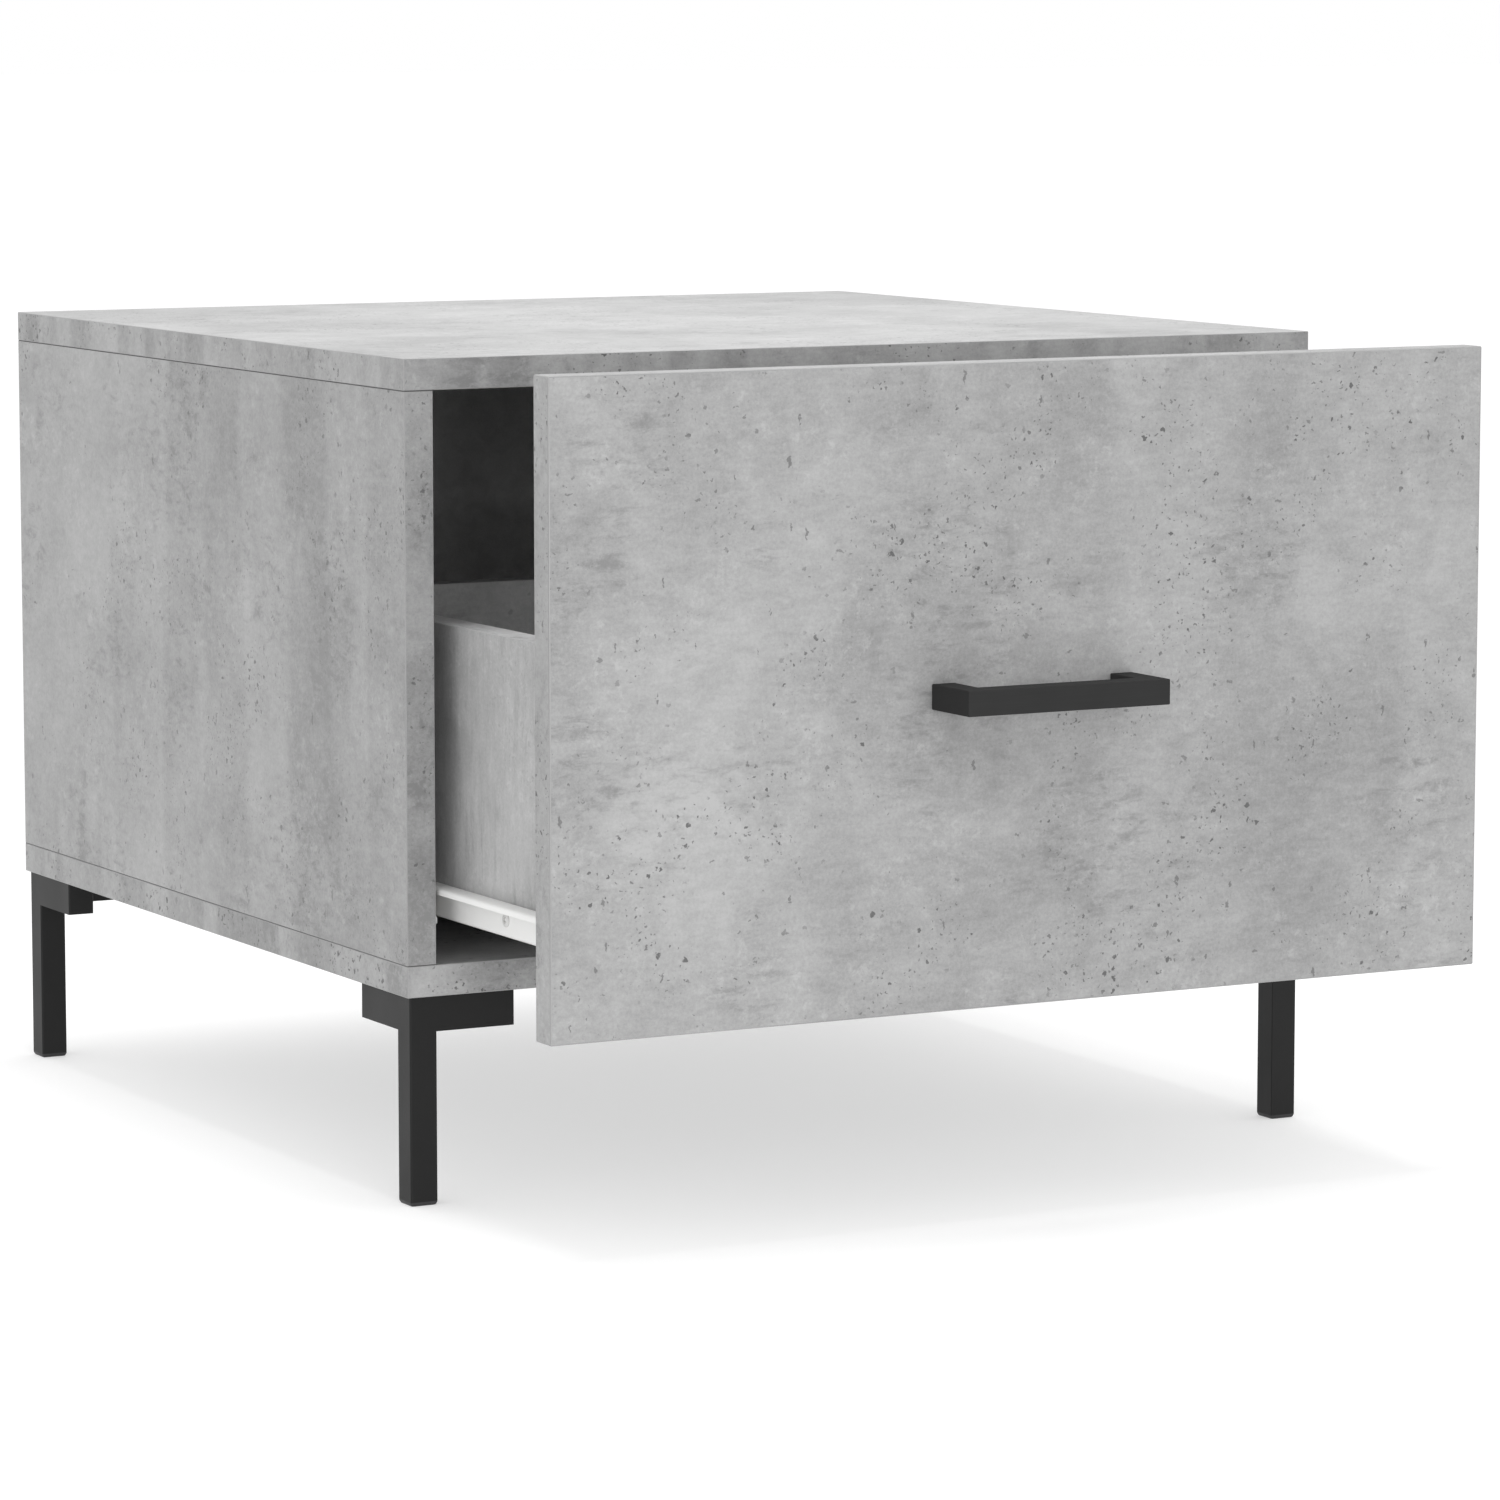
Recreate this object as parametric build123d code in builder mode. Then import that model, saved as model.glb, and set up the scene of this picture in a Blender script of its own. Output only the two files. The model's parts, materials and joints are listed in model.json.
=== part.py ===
from build123d import *
import os

# A side table with one drawer, in millimetres. The origin is on the floor, under the centre of the
# carcass. +X is to the right of someone who faces the drawer, -Y is the front and +Z is up.
# The drawer and all that is on it are modelled part of the way out.

# Overall sizes
overall_width = 500.0
overall_depth = 500.0  # with the drawer closed, without its handle
overall_height = 400.0
leg_height = 100.0

# Boards
board = 15.0
thin_board = 3.0  # the back panel and the drawer bottom
board_edge = 0.5  # radius on the edges of a board
front_edge = 0.8  # radius on the edges of the drawer front
groove_depth = 5.0
groove_clearance = 0.2
back_inset = 10.0  # from the rear edge of the carcass to the groove of the back panel

# Drawer
front_gap = 1.0  # between the closed drawer front and the carcass
drawer_open = 134.5  # how far out the drawer is modelled
drawer_travel = 255.0  # from closed to the stop
drawer_lift = 20.0  # from the bottom panel to the underside of the drawer sides
drawer_side_height = 139.0
drawer_depth = 345.0  # of the box behind the drawer front
drawer_groove_height = 10.0  # from the underside of the drawer sides to the drawer bottom

# Runners. Their section is laid out from the inner face of the side panel, towards the drawer.
runner_gap = 12.5  # between a side panel and a drawer side
runner_length = 350.0
rail_inset = 22.0  # from the front of the carcass to the cabinet rail
sheet = 1.1
drawer_rail_height = 16.8
drawer_rail_lip = 3.0
drawer_rail_foot = 13.0  # the flange that carries the drawer side
rail_side_gap = 2.0  # from the side panel to the lip of the drawer rail
rail_top_gap = 0.6  # from the drawer rail to the upper flange of the cabinet rail
cabinet_rail_lip = 4.0
cabinet_flange_gap = 0.5  # from the flanges of the cabinet rail to the web of the drawer rail
upper_flange_width = 9.0
roller_radius = 7.0
rolling_gap = 0.3
roller_proud = 0.4  # how far the front roller stands out of the front of its rail
rear_roller_inset = 8.0  # from the rear end of the drawer rail to the centre of its roller
roller_lip_gap = 0.5
passing_gap = 0.6  # between the front axle's head and the screw heads that pass it
axle_radius = 2.0
axle_clearance = 0.05
axle_head_radius = 3.0
axle_head = 0.5
axle_shoulder_radius = 3.2
roller_end_play = 0.1
roller_rim_radius = 0.8
roller_dish_radius = 5.4
roller_dish_depth = 0.8
stop_height = 3.6
stop_near = 2.4  # from the side panel to the near side of a stop
stop_far = 9.0
cabinet_screw_places = (37.0, 165.0, 293.0)  # behind the front of the cabinet rail
drawer_screw_places = (84.0, 212.0, 308.0)  # behind the drawer front

# Legs: a square tube with two arms under the bottom panel
leg_size = 14.0
leg_wall = 1.5
leg_inset = 2.0
leg_edge = 0.8
arm_reach = 54.5
arm_height = 17.0
arm_screw_places = (26.0, 45.0)  # along an arm, from the outer corner of the leg
glide_base = 2.0
glide_plug = 12.0
glide_clearance = 0.1
glide_edge = 0.5

# Handle: a square bar on two posts
handle_spacing = 96.0
handle_size = 12.0
handle_projection = 34.0
handle_drop = 3.0  # from the centre of the drawer front down to the handle
handle_edge = 0.6

# Fasteners
fit_clearance = 0.05  # round a screw, bolt or dowel in its hole
cam_radius = 7.5
cam_clearance = 0.1
cam_skin = 2.5  # board left behind a cam
cam_reach = 34.0  # from a joint to the centre of a cam
cam_carcass_place = 60.0  # from the front and rear edges of a side panel
cam_slot_length = 7.0
cam_slot_width = 1.5
cam_slot_depth = 2.0
bolt_radius = 2.5
bolt_head_radius = 3.4
bolt_head = 3.0
bolt_collar = 2.0
bolt_depth = 11.0
bolt_bore_radius = 3.8
dowel_radius = 4.0
dowel_length = 30.0
dowel_depth = 10.0  # in the face of a board
dowel_edge = 1.0
dowel_spare = 1.0
dowel_top_place = 92.0  # from the front and rear edges of a side panel
dowel_bottom_place = 124.0
joint_screw_place = 92.0
joint_screw_head_radius = 5.0
joint_screw_head = 3.0
joint_screw_neck_radius = 3.5
joint_screw_radius = 2.5
joint_screw_length = 50.0
leg_screw_radius = 2.0
leg_screw_head_radius = 3.8
leg_screw_head = 2.4
leg_screw_depth = 9.0  # in the bottom panel
leg_screw_access_radius = 4.4  # of the hole in an arm's lower wall that lets the head through
rail_screw_radius = 1.7
rail_screw_head_radius = 3.4
rail_screw_head = 0.8
rail_screw_depth = 11.0
back_screw_radius = 2.0
back_screw_head_radius = 3.8
back_screw_head = 2.2
back_screw_length = 40.0
handle_screw_radius = 2.0
handle_screw_head_radius = 4.0
handle_screw_head = 2.4
handle_screw_depth = 9.0  # in the post
recess_length = 3.6
recess_width = 0.9
recess_depth = 1.2
rail_recess_depth = 0.5
cam_low_place = 40.0  # from the underside of a drawer side
cam_high_place = 28.0  # from the top of a drawer side

# Places that follow from the sizes
carcass_depth = overall_depth - board - front_gap
front_y = -carcass_depth / 2
back_y = carcass_depth / 2
inner_x = overall_width / 2 - board
side_mid_x = inner_x + board / 2
bottom_top = leg_height + board
top_under = overall_height - board
side_height = top_under - bottom_top
groove_width = thin_board + groove_clearance
back_groove_y = back_y - back_inset - groove_width / 2

drawer_y = front_y - front_gap - drawer_open
drawer_back_y = drawer_y + drawer_depth
drawer_x = inner_x - runner_gap
drawer_inner_x = drawer_x - board
drawer_mid_x = drawer_x - board / 2
drawer_base = bottom_top + drawer_lift
drawer_top = drawer_base + drawer_side_height
drawer_groove_z = drawer_base + drawer_groove_height + groove_width / 2
front_height = overall_height - leg_height

rail_bottom = drawer_base - sheet
rail_top = rail_bottom + drawer_rail_height
roller_z = rail_top - sheet - rolling_gap - roller_radius
track_z = roller_z - roller_radius - rolling_gap
upper_flange_z = rail_top + rail_top_gap
roller_near = rail_side_gap + sheet + roller_lip_gap
roller_far = runner_gap - sheet - rail_screw_head - passing_gap - axle_head - roller_end_play
cabinet_rail_y = front_y + rail_inset
front_roller_y = cabinet_rail_y + roller_radius - roller_proud
rear_roller_y = drawer_y + runner_length - rear_roller_inset
closed_roller_y = rear_roller_y + drawer_open
opened_roller_y = closed_roller_y - drawer_travel

leg_x = overall_width / 2 - leg_inset - leg_size / 2
leg_y = carcass_depth / 2 - leg_inset - leg_size / 2
leg_corner_x = leg_x + leg_size / 2
leg_corner_y = leg_y + leg_size / 2
arm_bottom = leg_height - arm_height
leg_screw_seat = leg_height - leg_wall  # under the upper wall of an arm

handle_z = leg_height + front_height / 2 - handle_drop
drawer_face_y = drawer_y - board

cam_z = top_under - cam_reach
cam_depth = board - cam_skin
cam_y = drawer_y + cam_reach
drawer_cam_heights = (drawer_base + cam_low_place, drawer_top - cam_high_place)
drawer_dowel_z = sum(drawer_cam_heights) / 2
back_mid_y = drawer_back_y - board / 2

SIDES = (-1, 1)  # left, right
ENDS = (-1, 1)  # front, rear
os.makedirs("parts", exist_ok=True)


def save(part, name):
    """Writes one finished piece, labelled with its name."""
    part.label = name
    export_step(part, f"parts/{name}.step")


def across(y):
    """The upright plane across the table at depth y: X to the right, Z up, facing the front."""
    return Plane.XZ.offset(-y)


def along(x):
    """The upright plane along the table at x: Y to the rear, Z up, facing right."""
    return Plane.YZ.offset(x)


def plate(x_low, x_high, y_low, y_high, z_low, z_high, edge):
    """Adds a board with rounded edges to the piece in hand."""
    with BuildSketch(Plane.XY.offset(z_low)) as outline:
        with Locations(((x_low + x_high) / 2, (y_low + y_high) / 2)):
            Rectangle(x_high - x_low, y_high - y_low)
    solid = extrude(outline.sketch, amount=z_high - z_low)
    fillet(solid.edges(), edge)


def rods(plane, points, radius, length, mode=Mode.ADD):
    """Adds round rods of that length at points of the plane, or cuts them out as holes."""
    with BuildSketch(plane) as outline:
        with Locations(*points):
            Circle(radius)
    extrude(outline.sketch, amount=length, mode=mode)


def cross_recess(plane, points, length, width, depth):
    """Cuts a driver's cross into heads at points of the plane, depth deep against its normal."""
    with BuildSketch(plane) as outline:
        with Locations(*points):
            Rectangle(length, width)
            Rectangle(width, length)
    extrude(outline.sketch, amount=-depth, mode=Mode.SUBTRACT)


def slot_box(plane, centre, width, height, depth):
    """Cuts a straight groove of width by height at centre of the plane, depth deep along its normal."""
    with BuildSketch(plane) as outline:
        with Locations(centre):
            Rectangle(width, height)
    extrude(outline.sketch, amount=depth, mode=Mode.SUBTRACT)


def both_ends(place):
    """The two depths that lie that far in from the front and rear edges of the carcass."""
    return [end * (carcass_depth / 2 - place) for end in ENDS]


def on_sides(depths):
    """The points over the middle of both side panels at those depths."""
    return [(side * side_mid_x, y) for side in SIDES for y in depths]


# Top and bottom panels. The groove for the back panel reaches into the side panels' grooves.
groove_length = 2 * (inner_x + groove_depth)
top_joint_points = on_sides(both_ends(cam_carcass_place))
top_dowel_points = on_sides(both_ends(dowel_top_place))
bottom_joint_points = on_sides(both_ends(joint_screw_place))
bottom_dowel_points = on_sides(both_ends(dowel_bottom_place))
dowel_hole = dowel_radius + fit_clearance
face_dowel_depth = dowel_depth + dowel_spare / 2
edge_dowel_depth = dowel_length - dowel_depth + dowel_spare / 2

with BuildPart() as top_panel:
    plate(-overall_width / 2, overall_width / 2, front_y, back_y, top_under, overall_height, board_edge)
    slot_box(Plane.XY.offset(top_under), (0, back_groove_y), groove_length, groove_width, groove_depth)
    rods(Plane.XY.offset(top_under), top_joint_points, bolt_radius + fit_clearance, bolt_depth,
         Mode.SUBTRACT)
    rods(Plane.XY.offset(top_under), top_dowel_points, dowel_hole, face_dowel_depth, Mode.SUBTRACT)
save(top_panel.part, "top_panel")

# Each arm of a leg is held by screws from below.
arm_screw_points = []
for leg_side in SIDES:
    for leg_end in ENDS:
        for place in arm_screw_places:
            arm_screw_points.append((leg_side * (leg_corner_x - place), leg_end * leg_y))
            arm_screw_points.append((leg_side * leg_x, leg_end * (leg_corner_y - place)))

with BuildPart() as bottom_panel:
    plate(-overall_width / 2, overall_width / 2, front_y, back_y, leg_height, bottom_top, board_edge)
    slot_box(Plane.XY.offset(bottom_top), (0, back_groove_y), groove_length, groove_width, -groove_depth)
    rods(Plane.XY.offset(bottom_top), bottom_dowel_points, dowel_hole, -face_dowel_depth, Mode.SUBTRACT)
    rods(Plane.XY.offset(leg_height), bottom_joint_points, joint_screw_neck_radius + fit_clearance, board,
         Mode.SUBTRACT)
    rods(Plane.XY.offset(leg_height), bottom_joint_points, joint_screw_head_radius + fit_clearance,
         joint_screw_head, Mode.SUBTRACT)
    rods(Plane.XY.offset(leg_height), arm_screw_points, leg_screw_radius + fit_clearance, leg_screw_depth,
         Mode.SUBTRACT)
save(bottom_panel.part, "bottom_panel")


# Side panels, between the top and the bottom panel
cabinet_screw_points = [(cabinet_rail_y + place, roller_z) for place in cabinet_screw_places]


def side_panel(side):
    """A side panel with its groove, cam holes, dowel holes and pilot holes."""
    inner = side * inner_x
    outer = side * overall_width / 2
    joint_x = side * side_mid_x
    with BuildPart() as panel:
        plate(min(inner, outer), max(inner, outer), front_y, back_y, bottom_top, top_under, board_edge)
        with BuildSketch(along(inner)):
            with Locations((back_groove_y, (bottom_top + top_under) / 2)):
                Rectangle(groove_width, side_height)
        extrude(amount=side * groove_depth, mode=Mode.SUBTRACT)
        rods(along(inner), [(y, cam_z) for y in both_ends(cam_carcass_place)], cam_radius,
             side * cam_depth, Mode.SUBTRACT)
        rods(Plane.XY.offset(top_under), [(joint_x, y) for y in both_ends(cam_carcass_place)],
             bolt_bore_radius, -cam_reach, Mode.SUBTRACT)
        rods(Plane.XY.offset(top_under), [(joint_x, y) for y in both_ends(dowel_top_place)],
             dowel_hole, -edge_dowel_depth, Mode.SUBTRACT)
        rods(Plane.XY.offset(bottom_top), [(joint_x, y) for y in both_ends(dowel_bottom_place)],
             dowel_hole, edge_dowel_depth, Mode.SUBTRACT)
        rods(Plane.XY.offset(bottom_top), [(joint_x, y) for y in both_ends(joint_screw_place)],
             joint_screw_radius + fit_clearance, joint_screw_length - board, Mode.SUBTRACT)
        rods(along(inner), cabinet_screw_points, rail_screw_radius + fit_clearance,
             side * rail_screw_depth, Mode.SUBTRACT)
    return panel.part


save(side_panel(-1), "left_side_panel")
save(side_panel(1), "right_side_panel")

# Back panel, a thin board in grooves all round
back_reach = groove_depth - groove_clearance
with BuildPart() as back_panel:
    plate(-inner_x - back_reach, inner_x + back_reach, back_groove_y - thin_board / 2,
          back_groove_y + thin_board / 2, bottom_top - back_reach, top_under + back_reach, groove_clearance)
save(back_panel.part, "back_panel")


# Legs: a tube that is open at the foot, with two closed hollow arms welded round its top
def leg(side, end):
    """One leg, its outer corner under that corner of the bottom panel."""
    hollow = leg_size - 2 * leg_wall
    arm_x = side * (leg_corner_x - arm_reach / 2)
    arm_y = end * (leg_corner_y - arm_reach / 2)
    hollow_reach = arm_reach - 2 * leg_wall
    points = [p for p in arm_screw_points if p[0] * side > 0 and p[1] * end > 0]
    with BuildPart() as made:
        with BuildSketch(Plane.XY.offset(glide_base)):
            with Locations((side * leg_x, end * leg_y)):
                Rectangle(leg_size, leg_size)
        extrude(amount=leg_height - glide_base)
        with BuildSketch(Plane.XY.offset(arm_bottom)):
            with Locations((arm_x, end * leg_y)):
                Rectangle(arm_reach, leg_size)
            with Locations((side * leg_x, arm_y)):
                Rectangle(leg_size, arm_reach)
        extrude(amount=arm_height)
        fillet(made.edges().filter_by(Axis.Z), leg_edge)
        with BuildSketch(Plane.XY.offset(glide_base)):
            with Locations((side * leg_x, end * leg_y)):
                Rectangle(hollow, hollow)
        extrude(amount=leg_height - glide_base - leg_wall, mode=Mode.SUBTRACT)
        with BuildSketch(Plane.XY.offset(arm_bottom + leg_wall)):
            with Locations((arm_x, end * leg_y)):
                Rectangle(hollow_reach, hollow)
            with Locations((side * leg_x, arm_y)):
                Rectangle(hollow, hollow_reach)
        extrude(amount=arm_height - 2 * leg_wall, mode=Mode.SUBTRACT)
        rods(Plane.XY.offset(leg_screw_seat), points, leg_screw_radius + fit_clearance, leg_wall,
             Mode.SUBTRACT)
        rods(Plane.XY.offset(arm_bottom), points, leg_screw_access_radius, leg_wall, Mode.SUBTRACT)
    return made.part


def glide(side, end):
    """The plastic foot that plugs the tube of one leg."""
    plug = leg_size - 2 * leg_wall - 2 * glide_clearance
    with BuildPart() as made:
        with BuildSketch():
            with Locations((side * leg_x, end * leg_y)):
                RectangleRounded(leg_size, leg_size, leg_edge)
        extrude(amount=glide_base)
        chamfer(made.faces().sort_by(Axis.Z)[0].edges(), glide_edge)
        with BuildSketch(Plane.XY.offset(glide_base)):
            with Locations((side * leg_x, end * leg_y)):
                RectangleRounded(plug, plug, glide_edge)
        extrude(amount=glide_plug)
    return made.part


for end, end_name in zip(ENDS, ("front", "rear")):
    for side, side_name in zip(SIDES, ("left", "right")):
        save(leg(side, end), f"{end_name}_{side_name}_leg")
        save(glide(side, end), f"{end_name}_{side_name}_glide")

with BuildPart() as leg_screws:
    rods(Plane.XY.offset(leg_screw_seat), arm_screw_points, leg_screw_radius, leg_wall + leg_screw_depth)
    rods(Plane.XY.offset(leg_screw_seat), arm_screw_points, leg_screw_head_radius, -leg_screw_head)
    cross_recess(Plane.XY.offset(leg_screw_seat - leg_screw_head), arm_screw_points, recess_length,
                 recess_width, -recess_depth)
save(leg_screws.part, "leg_screws")


# Runners. A section is made of strips, each given by how far it lies from the side panel and by its
# heights. The drawer rail rides on the front roller, and its own roller runs on the cabinet rail.
def strip(side, near, far, low, high):
    """Adds a rectangle to a runner's section."""
    with Locations((side * (inner_x - (near + far) / 2), (low + high) / 2)):
        Rectangle(far - near, high - low)


def stop(side, y, reach):
    """Adds a stop that stands up out of the track, from depth y to depth y + reach."""
    with BuildSketch(across(y)) as outline:
        strip(side, stop_near, stop_far, track_z - sheet, track_z + stop_height)
    extrude(outline.sketch, amount=-reach)


def cabinet_rail(side):
    """The rail on a side panel: a channel with a track, an upper flange and two stops."""
    flange = runner_gap - sheet - cabinet_flange_gap
    with BuildPart() as rail:
        with BuildSketch(across(cabinet_rail_y)):
            strip(side, 0, sheet, track_z - sheet, upper_flange_z + sheet)
            strip(side, 0, flange, track_z - sheet, track_z)
            strip(side, flange - sheet, flange, track_z - cabinet_rail_lip, track_z)
            strip(side, 0, upper_flange_width, upper_flange_z, upper_flange_z + sheet)
            strip(side, upper_flange_width - sheet, upper_flange_width, upper_flange_z,
                  upper_flange_z + cabinet_rail_lip - sheet)
        extrude(amount=-runner_length)
        stop(side, opened_roller_y - roller_radius - rolling_gap - sheet, sheet)
        stop(side, closed_roller_y + roller_radius + rolling_gap, sheet)
        rods(along(side * inner_x), cabinet_screw_points, rail_screw_radius + fit_clearance,
             -side * sheet, Mode.SUBTRACT)
        rods(along(side * inner_x), [(front_roller_y, roller_z)], axle_radius + fit_clearance,
             -side * sheet, Mode.SUBTRACT)
    return rail.part


drawer_screw_points = [(drawer_y + place, roller_z) for place in drawer_screw_places]


def drawer_rail(side):
    """The rail on a drawer side: a foot under it, a web beside it and a flange with a lip."""
    web = runner_gap - sheet
    with BuildPart() as rail:
        with BuildSketch(across(drawer_y)):
            strip(side, web, runner_gap, rail_bottom, rail_top)
            strip(side, web, runner_gap + drawer_rail_foot, rail_bottom, drawer_base)
            strip(side, rail_side_gap, runner_gap, rail_top - sheet, rail_top)
            strip(side, rail_side_gap, rail_side_gap + sheet, rail_top - drawer_rail_lip, rail_top)
        extrude(amount=-runner_length)
        rods(along(side * drawer_x), drawer_screw_points, rail_screw_radius + fit_clearance,
             side * sheet, Mode.SUBTRACT)
        rods(along(side * drawer_x), [(rear_roller_y, roller_z)], axle_radius + fit_clearance,
             side * sheet, Mode.SUBTRACT)
    return rail.part


def roller(side, y):
    """A nylon roller with a dished face on each side."""
    near = side * (inner_x - roller_near)
    far = side * (inner_x - roller_far)
    with BuildPart() as made:
        rods(along(near), [(y, roller_z)], roller_radius, -side * (roller_far - roller_near))
        fillet(made.edges().filter_by(GeomType.CIRCLE), roller_rim_radius)
        for face, inwards in ((near, -side), (far, side)):
            with BuildSketch(along(face)):
                with Locations((y, roller_z)):
                    Circle(roller_dish_radius)
                    Circle(axle_head_radius, mode=Mode.SUBTRACT)
            extrude(amount=inwards * roller_dish_depth, mode=Mode.SUBTRACT)
        rods(along(near), [(y, roller_z)], axle_radius + axle_clearance,
             -side * (roller_far - roller_near), Mode.SUBTRACT)
    return made.part


for side, side_name in zip(SIDES, ("left", "right")):
    save(cabinet_rail(side), f"{side_name}_cabinet_rail")
    save(drawer_rail(side), f"{side_name}_drawer_rail")
    save(roller(side, front_roller_y), f"{side_name}_front_roller")
    save(roller(side, rear_roller_y), f"{side_name}_rear_roller")

# Axles are rivets: a shank through the web, a shoulder that spaces the roller, and a head.
with BuildPart() as front_axles:
    for side in SIDES:
        centre = [(front_roller_y, roller_z)]
        head_x = side * (inner_x - roller_far - roller_end_play)
        rods(along(side * inner_x), centre, axle_radius, -side * (roller_far + roller_end_play))
        rods(along(side * (inner_x - sheet)), centre, axle_shoulder_radius,
             -side * (roller_near - roller_end_play - sheet))
        rods(along(head_x), centre, axle_head_radius, -side * axle_head)
save(front_axles.part, "front_roller_axles")

with BuildPart() as rear_axles:
    for side in SIDES:
        centre = [(rear_roller_y, roller_z)]
        head_x = side * (inner_x - roller_near + roller_end_play)
        rods(along(side * drawer_x), centre, axle_radius, side * (runner_gap - roller_near + roller_end_play))
        rods(along(side * (drawer_x + sheet)), centre, axle_shoulder_radius,
             side * (runner_gap - sheet - roller_far - roller_end_play))
        rods(along(head_x), centre, axle_head_radius, side * axle_head)
save(rear_axles.part, "rear_roller_axles")


def rail_screws(points, seat_x, towards):
    """Adds screws with thin heads: each seat is the rail's face, and the shank runs on into the board."""
    rods(along(seat_x), points, rail_screw_radius, towards * (sheet + rail_screw_depth))
    rods(along(seat_x), points, rail_screw_head_radius, -towards * rail_screw_head)
    cross_recess(along(seat_x - towards * rail_screw_head), points, recess_length, recess_width,
                 -towards * rail_recess_depth)


with BuildPart() as cabinet_rail_screws:
    for side in SIDES:
        rail_screws(cabinet_screw_points, side * (inner_x - sheet), side)
save(cabinet_rail_screws.part, "cabinet_rail_screws")

with BuildPart() as drawer_rail_screws:
    for side in SIDES:
        rail_screws(drawer_screw_points, side * (drawer_x + sheet), -side)
save(drawer_rail_screws.part, "drawer_rail_screws")

# Drawer front. The drawer bottom sits in a groove in its rear face.
bottom_reach = groove_depth - groove_clearance
front_joint_points = [(side * drawer_mid_x, z) for side in SIDES for z in drawer_cam_heights]
front_dowel_points = [(side * drawer_mid_x, drawer_dowel_z) for side in SIDES]
handle_points = [(side * handle_spacing / 2, handle_z) for side in SIDES]
with BuildPart() as drawer_front:
    plate(-overall_width / 2, overall_width / 2, drawer_face_y, drawer_y, leg_height, overall_height,
          front_edge)
    slot_box(across(drawer_y), (0, drawer_groove_z), 2 * (drawer_inner_x + groove_depth), groove_width,
             groove_depth)
    rods(across(drawer_y), front_joint_points, bolt_radius + fit_clearance, bolt_depth, Mode.SUBTRACT)
    rods(across(drawer_y), front_dowel_points, dowel_hole, face_dowel_depth, Mode.SUBTRACT)
    rods(across(drawer_y), handle_points, handle_screw_radius + fit_clearance, board, Mode.SUBTRACT)
save(drawer_front.part, "drawer_front")


def drawer_side(side):
    """A drawer side with its groove, cam holes, dowel holes and screw holes."""
    inner = side * drawer_inner_x
    outer = side * drawer_x
    joint_x = side * drawer_mid_x
    with BuildPart() as panel:
        plate(min(inner, outer), max(inner, outer), drawer_y, drawer_back_y, drawer_base, drawer_top,
              board_edge)
        with BuildSketch(along(inner)):
            with Locations(((drawer_y + drawer_back_y) / 2, drawer_groove_z)):
                Rectangle(drawer_depth, groove_width)
        extrude(amount=side * groove_depth, mode=Mode.SUBTRACT)
        rods(along(inner), [(cam_y, z) for z in drawer_cam_heights], cam_radius, side * cam_depth,
             Mode.SUBTRACT)
        rods(across(drawer_y), [(joint_x, z) for z in drawer_cam_heights], bolt_bore_radius, -cam_reach,
             Mode.SUBTRACT)
        rods(across(drawer_y), [(joint_x, drawer_dowel_z)], dowel_hole, -edge_dowel_depth, Mode.SUBTRACT)
        rods(along(inner), [(back_mid_y, drawer_dowel_z)], dowel_hole, side * face_dowel_depth,
             Mode.SUBTRACT)
        rods(along(outer), [(back_mid_y, z) for z in drawer_cam_heights],
             back_screw_radius + fit_clearance, -side * board, Mode.SUBTRACT)
        rods(along(outer), [(back_mid_y, z) for z in drawer_cam_heights],
             back_screw_head_radius + fit_clearance, -side * back_screw_head, Mode.SUBTRACT)
        rods(along(outer), drawer_screw_points, rail_screw_radius + fit_clearance,
             -side * rail_screw_depth, Mode.SUBTRACT)
    return panel.part


save(drawer_side(-1), "drawer_left_side")
save(drawer_side(1), "drawer_right_side")

with BuildPart() as drawer_back:
    plate(-drawer_inner_x, drawer_inner_x, drawer_back_y - board, drawer_back_y, drawer_base, drawer_top,
          board_edge)
    slot_box(across(drawer_back_y - board), (0, drawer_groove_z), 2 * drawer_inner_x, groove_width,
             -groove_depth)
    for side in SIDES:
        rods(along(side * drawer_inner_x), [(back_mid_y, drawer_dowel_z)], dowel_hole,
             -side * edge_dowel_depth, Mode.SUBTRACT)
        rods(along(side * drawer_inner_x), [(back_mid_y, z) for z in drawer_cam_heights],
             back_screw_radius + fit_clearance, -side * (back_screw_length - board), Mode.SUBTRACT)
save(drawer_back.part, "drawer_back")

with BuildPart() as drawer_bottom:
    plate(-drawer_inner_x - bottom_reach, drawer_inner_x + bottom_reach, drawer_y - bottom_reach,
          drawer_back_y - board + bottom_reach, drawer_groove_z - thin_board / 2,
          drawer_groove_z + thin_board / 2, groove_clearance)
save(drawer_bottom.part, "drawer_bottom")

# Handle: the outline of bar and posts, seen from above, cut from one square section
with BuildPart() as handle:
    with BuildSketch(Plane.XY.offset(handle_z - handle_size / 2)):
        with Locations((0, drawer_face_y - handle_projection / 2)):
            Rectangle(handle_spacing + handle_size, handle_projection)
        with Locations((0, drawer_face_y - (handle_projection - handle_size) / 2)):
            Rectangle(handle_spacing - handle_size, handle_projection - handle_size, mode=Mode.SUBTRACT)
    extrude(amount=handle_size)
    outside = [e for e in handle.edges() if e.center().Y < drawer_face_y - handle_edge]
    fillet(outside, handle_edge)
    rods(across(drawer_face_y), handle_points, handle_screw_radius + fit_clearance, handle_screw_depth,
         Mode.SUBTRACT)
save(handle.part, "drawer_handle")

with BuildPart() as handle_screws:
    rods(across(drawer_y), handle_points, handle_screw_radius, board + handle_screw_depth)
    rods(across(drawer_y), handle_points, handle_screw_head_radius, -handle_screw_head)
    cross_recess(across(drawer_y + handle_screw_head), handle_points, recess_length, recess_width,
                 -recess_depth)
save(handle_screws.part, "handle_screws")

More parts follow.
